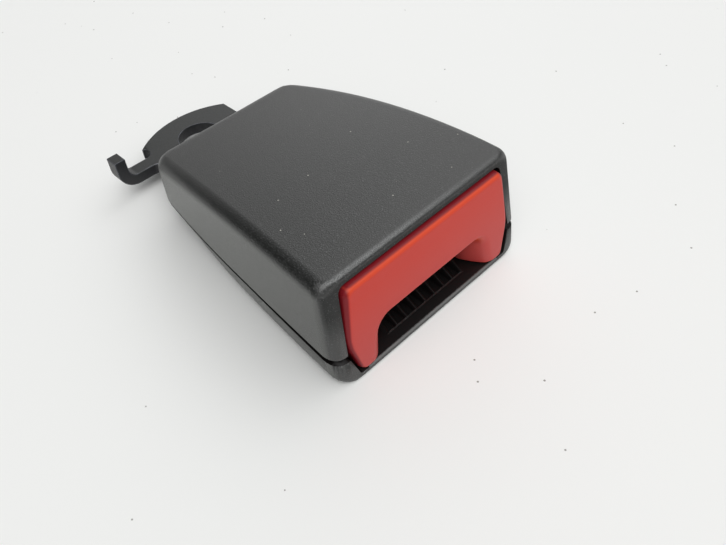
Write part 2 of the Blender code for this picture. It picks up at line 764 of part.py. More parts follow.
def plate_outline():
    """The flat blank seen from above: wide under the frame, a neck, an eye end and a finger."""
    corners = [
        (-PLATE_HALF_INSIDE, PLATE_FRONT, 2.5),
        (PLATE_HALF_INSIDE, PLATE_FRONT, 2.5),
        (PLATE_HALF_INSIDE, PLATE_SHOULDER, 4.0),
        (PLATE_HALF_NECK, PLATE_NECK_START, 4.0),
        *plate_end(),
        (-PLATE_NOTCH_X, arc_height(PLATE_BEAK_X) - PLATE_BEAK_UNDERCUT, 0.6),
        (-PLATE_NOTCH_X, HOOK_BACK, PLATE_NOTCH_RADIUS),
        (-HOOK_FLAT_X, HOOK_BACK, 0),
        (-HOOK_FLAT_X, HOOK_FRONT, 0),
        (-PLATE_HALF_NECK, HOOK_FRONT, HOOK_ROOT_RADIUS),
        (-PLATE_HALF_NECK, PLATE_NECK_START, 4.0),
        (-PLATE_HALF_INSIDE, PLATE_SHOULDER, 4.0),
    ]
    return rounded_outline(corners, 4)


def bend_finger(blank):
    """Turn the end of the finger up: edges are cut across the bend and their points turned."""
    for step in range(HOOK_BEND_STEPS + 1):
        bmesh.ops.bisect_plane(
            blank,
            geom=blank.verts[:] + blank.edges[:] + blank.faces[:],
            dist=1e-5,
            plane_co=(-HOOK_BEND_X - HOOK_BEND_LENGTH * step / HOOK_BEND_STEPS, 0, 0),
            plane_no=(1, 0, 0),
        )
    for vert in blank.verts:
        past = -HOOK_BEND_X - vert.co.x
        if past <= 0:
            continue
        angle = math.pi / 2 * min(1.0, past / HOOK_BEND_LENGTH)
        radius = HOOK_BEND_Z - vert.co.z
        vert.co.x = -HOOK_BEND_X - radius * math.sin(angle)
        vert.co.z = HOOK_BEND_Z - radius * math.cos(angle) + max(0.0, past - HOOK_BEND_LENGTH)
    return blank


def slot_outline(half, front, back):
    """A slot with rounded corners, seen from above."""
    corners = [(-half, front), (half, front), (half, back), (-half, back)]
    return rounded_outline([(x, y, 1.0) for x, y in corners], 3)


def plate_cuts():
    """Bolt hole, latch hole, spring slot and rivet holes through the plate."""
    low, high = PLATE_BOTTOM - 1, PLATE_TOP + 1
    cuts = [prism(circle_outline(0, BOLT_HOLE_Y, BOLT_HOLE_RADIUS, 48), "Z", low, high)]
    latch_back = NOSE_FRONT + NOSE_LENGTH + NOSE_PLAY
    latch_hole = slot_outline(NOSE_HALF + NOSE_PLAY, NOSE_FRONT - NOSE_SWING, latch_back)
    cuts.append(prism(latch_hole, "Z", low, high))
    slot_front = EJECTOR_BACK - KEEL_LENGTH - KEEL_PLAY
    slot_back = EJECTOR_SPRING_BACK + CLEAR
    cuts.append(prism(slot_outline(KEEL_HALF + KEEL_PLAY, slot_front, slot_back), "Z", low, high))
    for x, y in rivet_places():
        cuts.append(prism(circle_outline(x, y, RIVET_RADIUS + CLEAR, 20), "Z", low, high))
    return gather(cuts)


def make_anchor_plate(material):
    blank = bend_finger(prism(plate_outline(), "Z", PLATE_BOTTOM, PLATE_TOP))
    plate = make_piece("anchor_plate", blank, material)
    break_edges(plate, PLATE_EDGE, 1)
    shape(plate, "plate_cuts", plate_cuts())
    return plate


def frame_ring(y):
    """The channel's section: feet, two walls and a roof, at one place along it."""
    drop = max(0.0, (y - FRAME_LEVEL_END) / (FRAME_BACK - FRAME_LEVEL_END)) * FRAME_DROP
    top = FRAME_TOP - drop
    inner_bend = FRAME_BEND - FRAME_STEEL
    right = [
        (FRAME_HALF_INSIDE, top - FRAME_STEEL, inner_bend),
        (FRAME_HALF_INSIDE, FOOT_BOTTOM, 0),
        (FOOT_OUTER, FOOT_BOTTOM, 0),
        (FOOT_OUTER, FOOT_TOP, 0),
        (FRAME_HALF_OUTSIDE, FOOT_TOP, 0),
        (FRAME_HALF_OUTSIDE, top, FRAME_BEND),
    ]
    left = [(-x, z, radius) for x, z, radius in reversed(right)]
    return [Vector((p.x, y, p.y)) for p in rounded_outline(right + left, 4)]


def frame_cuts():
    """Roof window, foot spaces, side windows, lock pin slots and pivot holes."""
    wide = RIVET_X + RIVET_HEAD_RADIUS + 2
    window_front = FRAME_FRONT + FRONT_STRAP
    window = [
        (-FRAME_HALF_INSIDE + 1.5, window_front, 1.5),
        (FRAME_HALF_INSIDE - 1.5, window_front, 1.5),
        (FRAME_HALF_INSIDE - 1.5, REAR_STRAP_START, 1.5),
        (-FRAME_HALF_INSIDE + 1.5, REAR_STRAP_START, 1.5),
    ]
    pivot_circle = circle_outline(PIVOT_Y, PIVOT_Z, PIVOT_RADIUS + CLEAR, 20)
    return [
        ("roof_window", prism(rounded_outline(window, 3), "Z", LOCK_REST_Z - 1, FRAME_TOP + 2)),
        ("foot_spaces", gather(foot_spaces(wide))),
        ("side_windows", prism(rounded_outline(side_window(), 3), "X", -wide, wide)),
        ("lock_slots", prism(lock_slot(), "X", -wide, wide)),
        ("pivot_holes", prism(pivot_circle, "X", -wide, wide)),
    ]


def foot_spaces(wide):
    solids = []
    spaces = [
        (FRAME_FRONT - 1, FRONT_FOOT_Y - FOOT_LENGTH / 2),
        (FRONT_FOOT_Y + FOOT_LENGTH / 2, REAR_FOOT_Y - FOOT_LENGTH / 2),
        (REAR_FOOT_Y + FOOT_LENGTH / 2, FRAME_BACK + 1),
    ]
    for start, end in spaces:
        for side in (-1, 1):
            near, far = side * FRAME_HALF_OUTSIDE, side * wide
            across = (min(near, far), max(near, far))
            solids.append(block(across, (start, end), (FOOT_BOTTOM - 1, FOOT_TOP + 1)))
    return solids


def side_window():
    low, high = FOOT_TOP + 1.2, LOCK_SET_Z
    front, back = LOCK_REST_Y + LOCK_RADIUS + 2.5, PIVOT_Y - PIVOT_RADIUS - 4.5
    return [(front, low, 1.5), (back, low, 1.5), (back, high, 1.5), (front, high, 1.5)]


def lock_slot(steps=10):
    """A slanted slot with round ends, from the pin's set place to its released place."""
    radius = LOCK_RADIUS + CLEAR
    lower = Vector((LOCK_SET_Y, LOCK_SET_Z))
    upper = Vector((LOCK_REST_Y, LOCK_REST_Z))
    slope = math.atan2(upper.y - lower.y, upper.x - lower.x)
    points = []
    for centre, start in ((upper, slope - math.pi / 2), (lower, slope + math.pi / 2)):
        for k in range(steps + 1):
            angle = start + math.pi * k / steps
            points.append(centre + radius * Vector((math.cos(angle), math.sin(angle))))
    return points


def rivet_places():
    return [(side * RIVET_X, y) for y in (FRONT_FOOT_Y, REAR_FOOT_Y) for side in (-1, 1)]


def make_frame_bracket(material):
    stations = [FRAME_FRONT, FRAME_LEVEL_END, FRAME_BACK]
    frame = make_piece("frame_bracket", loft([frame_ring(y) for y in stations]), material)
    for name, solid in frame_cuts():
        shape(frame, name, solid)
    shape(frame, "frame_rivet_holes", rivet_holes_in_feet())
    return frame


def rivet_holes_in_feet():
    holes = [
        prism(circle_outline(x, y, RIVET_RADIUS + CLEAR, 20), "Z", FOOT_BOTTOM - 1, FOOT_TOP + 1)
        for x, y in rivet_places()
    ]
    return gather(holes)


def make_rivets(material):
    """Rivets through the feet and the plate, a domed head on top and a flat one below."""
    head_low = FOOT_TOP + CLEAR
    under_high = PLATE_BOTTOM - CLEAR
    profile = [
        (under_high - RIVET_HEAD * 0.7, RIVET_HEAD_RADIUS - 0.3),
        (under_high - RIVET_HEAD * 0.4, RIVET_HEAD_RADIUS),
        (under_high, RIVET_HEAD_RADIUS),
        (under_high, RIVET_RADIUS),
        (head_low, RIVET_RADIUS),
        (head_low, RIVET_HEAD_RADIUS),
        (head_low + RIVET_HEAD * 0.4, RIVET_HEAD_RADIUS - 0.15),
        (head_low + RIVET_HEAD * 0.8, RIVET_HEAD_RADIUS - 0.8),
        (head_low + RIVET_HEAD, RIVET_HEAD_RADIUS - 1.5),
    ]
    for number, (x, y) in enumerate(rivet_places(), 1):
        solid = turned(profile, "Z", x, y, 16)
        make_piece(f"frame_rivet_{number}", solid, material, (x, y, head_low))


def make_latch(material):
    """The latch, drawn in its set place and turned up about its pivot to the released one."""
    pivot = (0.0, PIVOT_Y, PIVOT_Z)
    nose_back = NOSE_FRONT + NOSE_LENGTH
    corners = [
        (NOSE_FRONT + 0.3, NOSE_BOTTOM, 0.5),
        (nose_back, NOSE_BOTTOM, 0.5),
        (nose_back, LATCH_ARM_LOW, 0.8),
        (PIVOT_Y, LATCH_ARM_LOW, 0),
        (PIVOT_Y, LATCH_ARM_TOP, 0),
        (NOSE_FRONT, LATCH_ARM_TOP, 1.2),
    ]
    body = prism(rounded_outline(corners, 3), "X", -LATCH_EYE_HALF, LATCH_EYE_HALF)
    latch = make_piece("latch", body, material, pivot)
    eye_circle = circle_outline(PIVOT_Y, PIVOT_Z, LATCH_EYE_RADIUS, 28)
    eye_half = LATCH_EYE_HALF - 0.01
    shape(latch, "latch_eye", prism(eye_circle, "X", -eye_half, eye_half), "UNION", pivot)
    bore_circle = circle_outline(PIVOT_Y, PIVOT_Z, PIVOT_RADIUS + CLEAR, 20)
    bore_half = LATCH_EYE_HALF + 2
    shape(latch, "latch_bore", prism(bore_circle, "X", -bore_half, bore_half), "DIFFERENCE", pivot)
    sides = []
    for side in (-1, 1):
        near, far = side * NOSE_HALF, side * (LATCH_EYE_HALF + 2)
        across = (min(near, far), max(near, far))
        sides.append(block(across, (NOSE_FRONT - 3, LATCH_NECK_Y), (NOSE_BOTTOM - 2, LATCH_ARM_TOP + 2)))
    shape(latch, "latch_shoulders", gather(sides), "DIFFERENCE", pivot)
    latch.rotation_euler = (-LATCH_ANGLE, 0.0, 0.0)
    return latch


def make_pivot_pin(material):
    inner = FRAME_HALF_OUTSIDE + CLEAR
    outer = inner + PIVOT_HEAD
    profile = [
        (-outer, PIVOT_HEAD_RADIUS - 0.4),
        (-outer + 0.4, PIVOT_HEAD_RADIUS),
        (-inner, PIVOT_HEAD_RADIUS),
        (-inner, PIVOT_RADIUS),
        (inner, PIVOT_RADIUS),
        (inner, PIVOT_HEAD_RADIUS),
        (outer - 0.4, PIVOT_HEAD_RADIUS),
        (outer, PIVOT_HEAD_RADIUS - 0.4),
    ]
    pin = turned(profile, "X", PIVOT_Y, PIVOT_Z)
    return make_piece("latch_pivot_pin", pin, material, (0, PIVOT_Y, PIVOT_Z))


def make_lock_pin(material):
    end = LOCK_HALF_LENGTH
    profile = [
        (-end, LOCK_RADIUS - LOCK_CHAMFER),
        (-end + LOCK_CHAMFER, LOCK_RADIUS),
        (end - LOCK_CHAMFER, LOCK_RADIUS),
        (end, LOCK_RADIUS - LOCK_CHAMFER),
    ]
    pin = turned(profile, "X", LOCK_REST_Y, LOCK_REST_Z)
    return make_piece("lock_pin", pin, material, (0, LOCK_REST_Y, LOCK_REST_Z))


def make_ejector(material):
    """The slide that pushes the tongue out, with a ramp that the latch nose stands on."""
    half = FRAME_HALF_INSIDE - EJECTOR_SIDE_GAP
    base = PLATE_TOP + CLEAR
    corners = [
        (-half, EJECTOR_FRONT, 0.8),
        (half, EJECTOR_FRONT, 0.8),
        (half, EJECTOR_BACK, 2.0),
        (-half, EJECTOR_BACK, 2.0),
    ]
    ejector = make_piece("ejector", prism(rounded_outline(corners, 3), "Z", base, EJECTOR_TOP), material)
    ramp_front = EJECTOR_FRONT + EJECTOR_RAMP_FRONT
    ramp_back = ramp_front + EJECTOR_RAMP_LENGTH
    ramp = [
        Vector((EJECTOR_FRONT - 1, base - 1)),
        Vector((ramp_front, base - 1)),
        Vector((ramp_front, EJECTOR_TOP - EJECTOR_RAMP_DROP)),
        Vector((ramp_back, EJECTOR_TOP)),
        Vector((ramp_back, EJECTOR_TOP + 1)),
        Vector((EJECTOR_FRONT - 1, EJECTOR_TOP + 1)),
    ]
    shape(ejector, "ejector_ramp", prism(ramp, "X", -NOSE_HALF - 0.5, NOSE_HALF + 0.5))
    keel_along = (EJECTOR_BACK - KEEL_LENGTH, EJECTOR_BACK - 0.05)
    keel = block((-KEEL_HALF, KEEL_HALF), keel_along, (PLATE_BOTTOM, base + 1))
    shape(ejector, "ejector_keel", keel, "UNION")
    return ejector


def make_tongue_guide(material):
    """The insert over the tongue path, which also carries the button springs."""
    half = FRAME_HALF_OUTSIDE
    back = GUIDE_FRONT + GUIDE_DEPTH
    low = PLATE_TOP + CLEAR
    right = [
        (half - GUIDE_LEG, GUIDE_LOW, GUIDE_CORNER),
        (half - GUIDE_LEG, low, 0),
        (half, low, 0),
        (half, GUIDE_HIGH, GUIDE_CORNER),
    ]
    left = [(-x, z, radius) for x, z, radius in reversed(right)]
    arch = prism(rounded_outline(right + left, 4), "Y", GUIDE_FRONT, back)
    guide = make_piece("tongue_guide", arch, material)
    chamfer = [
        Vector((GUIDE_FRONT - 1, GUIDE_LOW - 1)),
        Vector((GUIDE_FRONT + 1.9, GUIDE_LOW - 1)),
        Vector((GUIDE_FRONT - 1, GUIDE_LOW + 2.4)),
    ]
    shape(guide, "guide_lead_in", prism(chamfer, "X", -half + GUIDE_LEG, half - GUIDE_LEG))
    tip = GUIDE_FRONT - PEG_LENGTH
    profile = [(tip, PEG_RADIUS - 0.3), (tip + 0.4, PEG_RADIUS), (GUIDE_FRONT + 1, PEG_RADIUS)]
    pegs = [turned(profile, "Y", side * BUTTON_SPRING_X, BUTTON_SPRING_Z, 16) for side in (-1, 1)]
    shape(guide, "guide_pegs", gather(pegs), "UNION")
    return guide


def make_button_springs(material):
    start = HOLLOW_START + CLEAR + BUTTON_SPRING_WIRE
    end = GUIDE_FRONT - CLEAR - BUTTON_SPRING_WIRE
    for side, name in ((-1, "button_spring_left"), (1, "button_spring_right")):
        x = side * BUTTON_SPRING_X
        points = coil("Y", x, BUTTON_SPRING_Z, BUTTON_SPRING_RADIUS, start, end, BUTTON_SPRING_TURNS)
        wire(name, points, BUTTON_SPRING_WIRE, material, (x, end, BUTTON_SPRING_Z))


def make_ejector_spring(material):
    start = EJECTOR_BACK + CLEAR + EJECTOR_SPRING_WIRE
    end = EJECTOR_SPRING_BACK - EJECTOR_SPRING_WIRE
    points = coil("Y", 0, EJECTOR_SPRING_Z, EJECTOR_SPRING_RADIUS, start, end, EJECTOR_SPRING_TURNS)
    wire("ejector_spring", points, EJECTOR_SPRING_WIRE, material, (0, end, EJECTOR_SPRING_Z))


def latch_top_at(y):
    """Height of the raised latch arm's upper face."""
    rise = math.tan(LATCH_ANGLE) * (PIVOT_Y - y)
    return PIVOT_Z - (PIVOT_Z - LATCH_ARM_TOP) / math.cos(LATCH_ANGLE) + rise


def frame_roof_at(y):
    """Height of the underside of the frame's roof."""
    drop = max(0.0, (y - FRAME_LEVEL_END) / (FRAME_BACK - FRAME_LEVEL_END)) * FRAME_DROP
    return FRAME_TOP - drop - FRAME_STEEL


def make_latch_spring(material):
    reach = LATCH_SPRING_RADIUS + LATCH_SPRING_WIRE
    low = latch_top_at(LATCH_SPRING_Y - reach) + CLEAR + LATCH_SPRING_WIRE
    high = frame_roof_at(LATCH_SPRING_Y + reach) - CLEAR - LATCH_SPRING_WIRE
    points = coil("Z", 0, LATCH_SPRING_Y, LATCH_SPRING_RADIUS, low, high, LATCH_SPRING_TURNS)
    wire("latch_spring", points, LATCH_SPRING_WIRE, material, (0, LATCH_SPRING_Y, high))


def make_lock_springs(material, per_turn=16):
    """Torsion springs round the pivot pin whose long legs press the lock pin forward."""
    radius = PIVOT_RADIUS + CLEAR + LOCK_SPRING_WIRE + 0.2
    gap = LOCK_RADIUS + LOCK_SPRING_WIRE + CLEAR
    tip = Vector((LOCK_REST_Y + gap * 0.975, LOCK_REST_Z + gap * 0.22))
    pivot = Vector((PIVOT_Y, PIVOT_Z))
    away = tip - pivot
    tangent_turn = math.acos(radius / away.length)
    leg_angle = math.atan2(away.y, away.x) - tangent_turn
    inner = LATCH_EYE_HALF + CLEAR + LOCK_SPRING_WIRE
    outer = FRAME_HALF_INSIDE - CLEAR - LOCK_SPRING_WIRE
    count = int(LOCK_SPRING_TURNS * per_turn)
    for side, name in ((-1, "lock_spring_left"), (1, "lock_spring_right")):
        points = [Vector((side * outer, tip.x, tip.y))]
        for k in range(count + 1):
            angle = leg_angle - 2 * math.pi * k / per_turn
            along = outer + (inner - outer) * k / count
            turn = radius * Vector((math.cos(angle), math.sin(angle)))
            points.append(Vector((side * along, PIVOT_Y + turn.x, PIVOT_Z + turn.y)))
        heading = angle - math.pi / 2
        last = points[-1]
        points.append(last + Vector((0, math.cos(heading), math.sin(heading))) * LOCK_SPRING_SHORT_LEG)
        wire(name, points, LOCK_SPRING_WIRE, material, (side * outer, PIVOT_Y, PIVOT_Z))


def build():
    clear_scene()
    add_datum()
    make_upper_cover(make_material("upper_cover_plastic", PLASTIC_CHARCOAL, 0.55, 0.0))
    make_lower_cover(make_material("lower_cover_plastic", PLASTIC_CHARCOAL, 0.55, 0.0))
    make_release_button(make_material("button_plastic", PLASTIC_RED, 0.5, 0.0))
    make_anchor_plate(make_material("anchor_plate_steel", STEEL_BLACK, 0.45, 0.6))
    make_frame_bracket(make_material("frame_steel", STEEL_BRIGHT, 0.35, 1.0))
    make_rivets(make_material("rivet_steel", STEEL_BRIGHT, 0.3, 1.0))
    make_latch(make_material("latch_steel", STEEL_BRIGHT, 0.3, 1.0))
    make_pivot_pin(make_material("pivot_steel", STEEL_BRIGHT, 0.25, 1.0))
    make_lock_pin(make_material("lock_pin_steel", STEEL_BRIGHT, 0.25, 1.0))
    make_ejector(make_material("ejector_plastic", PLASTIC_WHITE, 0.5, 0.0))
    make_tongue_guide(make_material("guide_plastic", PLASTIC_BLACK, 0.5, 0.0))
    make_button_springs(make_material("button_spring_steel", SPRING_STEEL, 0.3, 1.0))
    make_ejector_spring(make_material("ejector_spring_steel", SPRING_STEEL, 0.3, 1.0))
    make_latch_spring(make_material("latch_spring_steel", SPRING_STEEL, 0.3, 1.0))
    make_lock_springs(make_material("lock_spring_steel", SPRING_STEEL, 0.3, 1.0))


build()
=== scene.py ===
# %% [markdown]
# Seat belt buckle, the looks
#
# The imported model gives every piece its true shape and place. This notebook lights those pieces
# like the small product shot that they come from, and gives them their moulded, coated and plated
# finishes.

import json
import math

import bmesh
import bpy
from mathutils import Matrix, Vector
from mathutils.bvhtree import BVHTree


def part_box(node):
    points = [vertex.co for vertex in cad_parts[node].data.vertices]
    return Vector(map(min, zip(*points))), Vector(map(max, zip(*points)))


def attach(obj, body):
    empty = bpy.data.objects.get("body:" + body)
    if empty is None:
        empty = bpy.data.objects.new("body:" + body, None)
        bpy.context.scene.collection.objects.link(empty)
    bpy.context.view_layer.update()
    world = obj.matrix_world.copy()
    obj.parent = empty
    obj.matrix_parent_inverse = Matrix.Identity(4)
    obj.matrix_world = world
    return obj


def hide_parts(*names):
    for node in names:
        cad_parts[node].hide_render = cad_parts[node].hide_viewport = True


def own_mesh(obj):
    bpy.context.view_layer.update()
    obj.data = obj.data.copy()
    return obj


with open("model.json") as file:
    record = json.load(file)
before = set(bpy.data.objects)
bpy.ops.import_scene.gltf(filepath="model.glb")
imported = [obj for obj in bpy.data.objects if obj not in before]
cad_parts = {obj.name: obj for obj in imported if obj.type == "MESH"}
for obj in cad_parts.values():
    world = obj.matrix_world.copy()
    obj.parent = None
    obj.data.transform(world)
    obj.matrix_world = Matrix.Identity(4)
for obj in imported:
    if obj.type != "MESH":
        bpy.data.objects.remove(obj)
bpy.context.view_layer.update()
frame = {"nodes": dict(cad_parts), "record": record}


# %% [markdown]
# The photograph looks down on the buckle's mouth from its left. The camera was worked out from
# the housing's outline. Four things bring it back: where it stands, which way it looks, which way
# is up in its picture, and how long its lens is.

# %% Set the camera
MM = 0.001
CAMERA_PLACE = Vector((-80.76, -116.69, 125.31)) * MM
CAMERA_FORWARD = Vector((0.45456, 0.51713, -0.72523))
CAMERA_UP = Vector((0.54347, 0.48406, 0.68580))
SENSOR_WIDTH = 36.0
LENS = 37.19
CLIP_START = 0.01

camera_data = bpy.data.cameras.new("camera")
camera_data.sensor_fit = "HORIZONTAL"
camera_data.sensor_width = SENSOR_WIDTH
camera_data.lens = LENS
camera_data.clip_start = CLIP_START
camera = bpy.data.objects.new("camera", camera_data)
bpy.context.scene.collection.objects.link(camera)
back = -CAMERA_FORWARD.normalized()
right = CAMERA_UP.cross(back).normalized()
up = back.cross(right)
turn = Matrix((right, up, back)).transposed()
camera.matrix_world = Matrix.Translation(CAMERA_PLACE) @ turn.to_4x4()
bpy.context.scene.camera = camera
print("camera stands", round(CAMERA_PLACE.length * 1000), "mm from the origin")

# %% [markdown]
# Every finish here is built from a few small effects. Each effect is a node group with named
# sockets, made once and then placed in a material with that material's own numbers. This helper
# starts a group and gives short ways to add a node, to feed a socket and to join two values.

# %% Helper for shader groups
FLOAT = "NodeSocketFloat"
COLOR = "NodeSocketColor"
VECTOR = "NodeSocketVector"
MIX_FIRST, MIX_SECOND, MIX_RESULT = 6, 7, 2


class Graph:
    """A node tree with short ways to add nodes and to link them."""

    def __init__(self, tree):
        self.tree = tree

    def add(self, kind, **settings):
        node = self.tree.nodes.new(kind)
        for name, value in settings.items():
            setattr(node, name, value)
        return node

    def join(self, source, target):
        """Link an output to a socket, or type a plain value into the socket."""
        if isinstance(source, bpy.types.NodeSocket):
            self.tree.links.new(source, target)
        else:
            target.default_value = source

    def place(self):
        """Where a point lies on its piece, in metres, which no pose changes."""
        return self.add("ShaderNodeTexCoord").outputs["Object"]

    def split(self, vector):
        node = self.add("ShaderNodeSeparateXYZ")
        self.join(vector, node.inputs[0])
        return node.outputs

    def dot(self, first, second):
        node = self.add("ShaderNodeVectorMath", operation="DOT_PRODUCT")
        self.join(first, node.inputs[0])
        self.join(second, node.inputs[1])
        return node.outputs["Value"]

    def math(self, operation, *values, clamp=False):
        node = self.add("ShaderNodeMath", operation=operation, use_clamp=clamp)
        for value, socket in zip(values, node.inputs):
            self.join(value, socket)
        return node.outputs[0]

    def times(self, product, *others):
        for other in others:
            product = self.math("MULTIPLY", product, other)
        return product

    def noise(self, vector, scale, detail=3.0, roughness=0.55):
        node = self.add("ShaderNodeTexNoise")
        self.join(vector, node.inputs["Vector"])
        self.join(scale, node.inputs["Scale"])
        self.join(detail, node.inputs["Detail"])
        self.join(roughness, node.inputs["Roughness"])
        return node.outputs["Fac"]

    def spread(self, value, stretch, onto=(0.0, 1.0)):
        """Map one stretch of values onto another, and clamp the result."""
        node = self.add("ShaderNodeMapRange", clamp=True)
        labels = ("Value", "From Min", "From Max", "To Min", "To Max")
        for label, item in zip(labels, (value, *stretch, *onto)):
            self.join(item, node.inputs[label])
        return node.outputs["Result"]

    def mix(self, share, first, second):
        """Blend two colours: the second one shows where the share is white."""
        node = self.add("ShaderNodeMix", data_type="RGBA")
        self.join(share, node.inputs["Factor"])
        self.join(first, node.inputs[MIX_FIRST])
        self.join(second, node.inputs[MIX_SECOND])
        return node.outputs[MIX_RESULT]


def new_group(name, inputs, outputs):
    """A group tree with typed sockets: inputs are (name, type, default), outputs (name, type)."""
    tree = bpy.data.node_groups.new(name, "ShaderNodeTree")
    for label, kind, default in inputs:
        socket = tree.interface.new_socket(name=label, in_out="INPUT", socket_type=kind)
        socket.default_value = default
    for label, kind in outputs:
        tree.interface.new_socket(name=label, in_out="OUTPUT", socket_type=kind)
    graph = Graph(tree)
    return graph, graph.add("NodeGroupInput").outputs, graph.add("NodeGroupOutput").inputs


print("shader helper ready")

# %% [markdown]
# The buckle lies on a pale table in a bright room. The table is a broad sheet a hair under the
# buckle; it isn't part of the object.

# %% Table
TABLE_HALF = 3.0
TABLE_DROP = 0.00004
TABLE_WHITE = (0.860, 0.866, 0.852, 1.0)
TABLE_ROUGHNESS = 0.6


def object_from(shape, name):
    """Turn a finished bmesh into a named object that sits at the origin."""
    mesh = bpy.data.meshes.new(name)
    shape.to_mesh(mesh)
    shape.free()
    thing = bpy.data.objects.new(name, mesh)
    bpy.context.scene.collection.objects.link(thing)
    return thing


table_shape = bmesh.new()
bmesh.ops.create_grid(table_shape, x_segments=2, y_segments=2, size=TABLE_HALF)
bmesh.ops.translate(table_shape, verts=table_shape.verts, vec=(0, 0, -TABLE_DROP))
table = object_from(table_shape, "table_top")
table_finish = bpy.data.materials.new("table_white")
table_finish.use_nodes = True
table_shader = table_finish.node_tree.nodes["Principled BSDF"]
table_shader.inputs["Base Color"].default_value = TABLE_WHITE
table_shader.inputs["Roughness"].default_value = TABLE_ROUGHNESS
table.data.materials.append(table_finish)
print("table is", 2 * TABLE_HALF, "m across")

# %% [markdown]
# The light comes from windows and lamps all round the table, so the room is painted straight into
# the world: each source is a soft round glow in one direction. The glow is the cosine between
# that direction and the one looked in, raised to a power that sets how tight it is.

# %% Group: one soft source in the room
GLOW_SHARPNESS = 14.0


def build_glow_group():
    graph, given, result = new_group(
        "soft_source",
        [
            ("Towards", VECTOR, (0.0, 0.0, 1.0)),
            ("Sharpness", FLOAT, GLOW_SHARPNESS),
            ("Strength", FLOAT, 1.0),
        ],
        [("Glow", FLOAT)],
    )
    look = graph.add("ShaderNodeTexCoord").outputs["Generated"]
    facing = graph.math("MAXIMUM", graph.dot(look, given["Towards"]), 0.0)
    round_glow = graph.math("POWER", facing, given["Sharpness"])
    graph.join(graph.times(round_glow, given["Strength"]), result["Glow"])
    return graph.tree


glow_group = build_glow_group()
print("group:", glow_group.name)

# %% [markdown]
# Reading the photograph gives the places of the sources. The shadow is faint and spreads left and
# forward, so the strong sources are high up. The side wall is lighter than the roof, and the
# fillet between them is nearly black, so nothing bright stands low on the left. Their glows are
# added to a faint floor of light. The camera itself sees a plain pale wall where the table ends.

# %% Light the room
ROOM = (
    # azimuth in degrees, elevation in degrees, strength
    (225, 55, 4.30),
    (270, 55, 1.62),
    (308, 37, 0.95),
    (0, 55, 2.05),
    (45, 22, 1.38),
    (45, 55, 0.20),
    (90, 22, 0.40),
    (0, 22, 0.19),
)
ROOM_FLOOR = 0.01
WALL_SEEN = 0.88
WHITE_LIGHT = (1.0, 1.0, 1.0, 1.0)

world = bpy.data.worlds.new("room")
bpy.context.scene.world = world
world.use_nodes = True
room = Graph(world.node_tree)
total = ROOM_FLOOR
for azimuth, elevation, strength in ROOM:
    heading, rise = math.radians(azimuth), math.radians(elevation)
    level = math.cos(rise)
    source = room.add("ShaderNodeGroup", node_tree=glow_group)
    towards = (math.cos(heading) * level, math.sin(heading) * level, math.sin(rise))
    source.inputs["Towards"].default_value = towards
    source.inputs["Sharpness"].default_value = GLOW_SHARPNESS
    source.inputs["Strength"].default_value = strength
    total = room.math("ADD", source.outputs["Glow"], total)
seen = room.add("ShaderNodeLightPath").outputs["Is Camera Ray"]
background = world.node_tree.nodes["Background"]
background.inputs["Color"].default_value = WHITE_LIGHT
room.join(room.spread(seen, (0.0, 1.0), (total, WALL_SEEN)), background.inputs["Strength"])
bpy.context.scene.view_settings.view_transform = "Standard"
print("soft sources:", len(ROOM))

# %% [markdown]
# Moulded grain. The tool that forms a buckle cover is spark eroded, so the plastic comes out with
# a fine, even stipple. Close up it reads as a grey surface with tiny bright points where a facet
# of the stipple catches a window. One noise does this: it lifts the surface and roughens it, and
# its highest points are painted a lighter colour, a painted glint, so they are the few that shine.
# The stipple is crisper towards the mouth, where hands haven't worn it down and the photograph is
# in focus.

# %% Group: moulded grain
CRISP_Y = (0.030, -0.042)
CRISP_SHARE = (0.3, 1.0)
GLINT_BAND = (0.58, 0.74)
ROUGH_BAND = (0.35, 0.65)
STIPPLE_DETAIL = 2.0
STIPPLE_ROUGHNESS = 0.6


def build_grain_group():
    graph, given, result = new_group(
        "moulded_grain",
        [
            ("Base", COLOR, (0.04, 0.04, 0.04, 1.0)),
            ("Speck", COLOR, (0.12, 0.12, 0.12, 1.0)),
            ("Stipple per metre", FLOAT, 3000.0),
            ("Speck share", FLOAT, 0.5),
            ("Rough low", FLOAT, 0.45),
            ("Rough high", FLOAT, 0.6),
        ],
        [("Color", COLOR), ("Roughness", FLOAT), ("Height", FLOAT)],
    )
    place = graph.place()
    crisp = graph.spread(graph.split(place)["Y"], CRISP_Y, CRISP_SHARE)
    per_metre = given["Stipple per metre"]
    stipple = graph.noise(place, per_metre, STIPPLE_DETAIL, STIPPLE_ROUGHNESS)
    # Painted glint: the stipple's highest points take a lighter colour.
    glint = graph.times(graph.spread(stipple, GLINT_BAND), given["Speck share"], crisp)
    rough = graph.spread(stipple, ROUGH_BAND, (given["Rough low"], given["Rough high"]))
    graph.join(graph.mix(glint, given["Base"], given["Speck"]), result["Color"])
    graph.join(rough, result["Roughness"])
    graph.join(graph.times(stipple, crisp), result["Height"])
    return graph.tree


grain_group = build_grain_group()
print("group:", grain_group.name)

# %% [markdown]
# Dust. A few pale flecks lie on the roof of a buckle that has been handled. Space is divided into
# cells, a fleck may sit in the middle of a cell, and the cell's own random colour decides
# whether it does.

